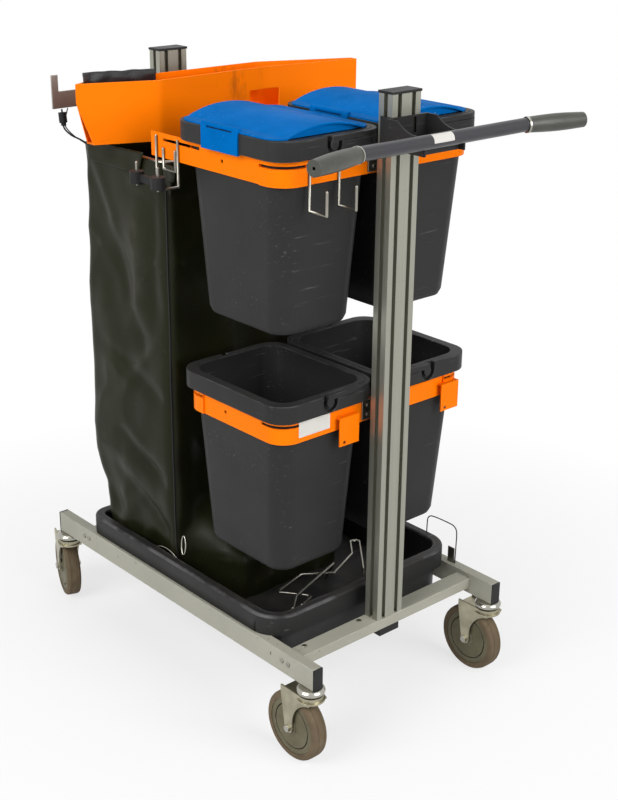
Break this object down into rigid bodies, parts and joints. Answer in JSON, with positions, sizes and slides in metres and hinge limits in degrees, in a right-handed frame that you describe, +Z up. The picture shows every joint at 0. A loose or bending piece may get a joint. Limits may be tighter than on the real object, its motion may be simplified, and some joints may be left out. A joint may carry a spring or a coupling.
{
  "type": "janitor cart",
  "caption": "Wheeled cleaning cart with slotted masts, lift-out bins with lids and bails in sheet frames, push handle with console, tool trough and standing waste bag.",
  "frame": {"origin": "on the floor, under the middle of the overall box", "axes": "+Z up, +Y along the cart from the handle to the waste bag, +X to the right seen from the handle"},
  "size_m": [0.581, 0.9079, 1.094],
  "materials": {
    "rail_paint": "semi-gloss paint, scuffed",
    "black_plastic": "fine moulded grain",
    "charcoal_plastic": "fine moulded grain",
    "extrusion": "anodised, drawn lines",
    "zinc": "zinc plated",
    "hub_plastic": "moulded",
    "tyre": "worn grey-brown rubber",
    "bar_paint": "satin paint",
    "grip_rubber": "matt rubber",
    "orange_paint": "satin paint, scuffed edges",
    "blue_plastic": "moulded, light scuffs",
    "bag_cloth": "coated cloth",
    "cord": "braided"
  },
  "bodies": {
    "base": {"rail_left": "rail_paint", "rail_right": "rail_paint", "crossbar_front": "rail_paint", "crossbar_rear": "rail_paint", "rail_caps": "black_plastic", "mast_end_pieces": "black_plastic", "tool_clip": "black_plastic", "cord_lock": "black_plastic", "base_tray": "charcoal_plastic", "handle_console": "charcoal_plastic", "mast_front": "extrusion", "mast_rear": "extrusion", "caster_head_front_left": "zinc", "caster_head_front_right": "zinc", "caster_head_rear_left": "zinc", "caster_head_rear_right": "zinc", "handle_bar": "bar_paint", "grip_left": "grip_rubber", "grip_right": "grip_rubber", "frame_upper": "orange_paint", "frame_lower": "orange_paint", "tool_trough": "orange_paint", "frame_brackets": "zinc", "front_hooks": "zinc", "side_hooks": "zinc", "bag_loops": "zinc", "bag_hoop": "zinc", "wire_rack": "zinc", "screws": "zinc", "bag_carrier": "zinc", "bag": "bag_cloth", "bag_cord": "cord"},
    "front_left_fork": {"caster_fork_front_left": "zinc", "caster_axle_front_left": "zinc"},
    "front_left_wheel": {"caster_hub_front_left": "hub_plastic", "caster_tyre_front_left": "tyre"},
    "front_right_fork": {"caster_fork_front_right": "zinc", "caster_axle_front_right": "zinc"},
    "front_right_wheel": {"caster_hub_front_right": "hub_plastic", "caster_tyre_front_right": "tyre"},
    "rear_left_fork": {"caster_fork_rear_left": "zinc", "caster_axle_rear_left": "zinc"},
    "rear_left_wheel": {"caster_hub_rear_left": "hub_plastic", "caster_tyre_rear_left": "tyre"},
    "rear_right_fork": {"caster_fork_rear_right": "zinc", "caster_axle_rear_right": "zinc"},
    "rear_right_wheel": {"caster_hub_rear_right": "hub_plastic", "caster_tyre_rear_right": "tyre"},
    "upper_left_bin": {"bin_upper_left": "charcoal_plastic", "lid_clip_left": "blue_plastic"},
    "upper_left_bail": {"bail_upper_left": "charcoal_plastic"},
    "left_lid": {"lid_left": "blue_plastic"},
    "upper_right_bin": {"bin_upper_right": "charcoal_plastic", "lid_clip_right": "blue_plastic"},
    "upper_right_bail": {"bail_upper_right": "charcoal_plastic"},
    "right_lid": {"lid_right": "blue_plastic"},
    "lower_left_bin": {"bin_lower_left": "charcoal_plastic"},
    "lower_left_bail": {"bail_lower_left": "charcoal_plastic"},
    "lower_right_bin": {"bin_lower_right": "charcoal_plastic"},
    "lower_right_bail": {"bail_lower_right": "charcoal_plastic"}
  },
  "joints": [
    {"name": "front_left_swivel", "type": "hinge", "parent": "base", "child": "front_left_fork", "pos_m": [-0.217, -0.37064, 0.139], "axis": [0, 0, 1], "continuous": true},
    {"name": "front_left_roll", "type": "hinge", "parent": "front_left_fork", "child": "front_left_wheel", "pos_m": [-0.217, -0.33664, 0.0625], "axis": [1, 0, 0], "continuous": true},
    {"name": "front_right_swivel", "type": "hinge", "parent": "base", "child": "front_right_fork", "pos_m": [0.217, -0.37064, 0.139], "axis": [0, 0, 1], "continuous": true},
    {"name": "front_right_roll", "type": "hinge", "parent": "front_right_fork", "child": "front_right_wheel", "pos_m": [0.217, -0.33664, 0.0625], "axis": [1, 0, 0], "continuous": true},
    {"name": "rear_left_swivel", "type": "hinge", "parent": "base", "child": "rear_left_fork", "pos_m": [-0.217, 0.35936, 0.139], "axis": [0, 0, 1], "continuous": true},
    {"name": "rear_left_roll", "type": "hinge", "parent": "rear_left_fork", "child": "rear_left_wheel", "pos_m": [-0.20537, 0.39131, 0.0625], "axis": [0.9397, -0.342, 0], "continuous": true},
    {"name": "rear_right_swivel", "type": "hinge", "parent": "base", "child": "rear_right_fork", "pos_m": [0.217, 0.35936, 0.139], "axis": [0, 0, 1], "continuous": true},
    {"name": "rear_right_roll", "type": "hinge", "parent": "rear_right_fork", "child": "rear_right_wheel", "pos_m": [0.20537, 0.39131, 0.0625], "axis": [0.9397, 0.342, 0], "continuous": true},
    {"name": "upper_left_lift", "type": "slide", "parent": "base", "child": "upper_left_bin", "axis": [0, 0, 1], "range_m": [0, 0.3]},
    {"name": "upper_left_bail_swing", "type": "hinge", "parent": "upper_left_bin", "child": "upper_left_bail", "pos_m": [-0.112, -0.16064, 1.02], "axis": [0, -1, 0], "range_deg": [0, 90]},
    {"name": "left_lid_swing", "type": "hinge", "parent": "upper_left_bin", "child": "left_lid", "pos_m": [-0.218, -0.15264, 1.0384], "axis": [0, -1, 0], "range_deg": [0, 105]},
    {"name": "upper_right_lift", "type": "slide", "parent": "base", "child": "upper_right_bin", "axis": [0, 0, 1], "range_m": [0, 0.3]},
    {"name": "upper_right_bail_swing", "type": "hinge", "parent": "upper_right_bin", "child": "upper_right_bail", "pos_m": [0.112, -0.16064, 1.02], "axis": [0, -1, 0], "range_deg": [0, 90]},
    {"name": "right_lid_swing", "type": "hinge", "parent": "upper_right_bin", "child": "right_lid", "pos_m": [0.006, -0.15264, 1.0384], "axis": [0, -1, 0], "range_deg": [0, 105]},
    {"name": "lower_left_lift", "type": "slide", "parent": "base", "child": "lower_left_bin", "axis": [0, 0, 1], "range_m": [0, 0.09]},
    {"name": "lower_left_bail_swing", "type": "hinge", "parent": "lower_left_bin", "child": "lower_left_bail", "pos_m": [-0.112, -0.16064, 0.603], "axis": [0, -1, 0], "range_deg": [0, 60]},
    {"name": "lower_right_lift", "type": "slide", "parent": "base", "child": "lower_right_bin", "axis": [0, 0, 1], "range_m": [0, 0.09]},
    {"name": "lower_right_bail_swing", "type": "hinge", "parent": "lower_right_bin", "child": "lower_right_bail", "pos_m": [0.112, -0.16064, 0.603], "axis": [0, 1, 0], "range_deg": [0, 60]}
  ]
}
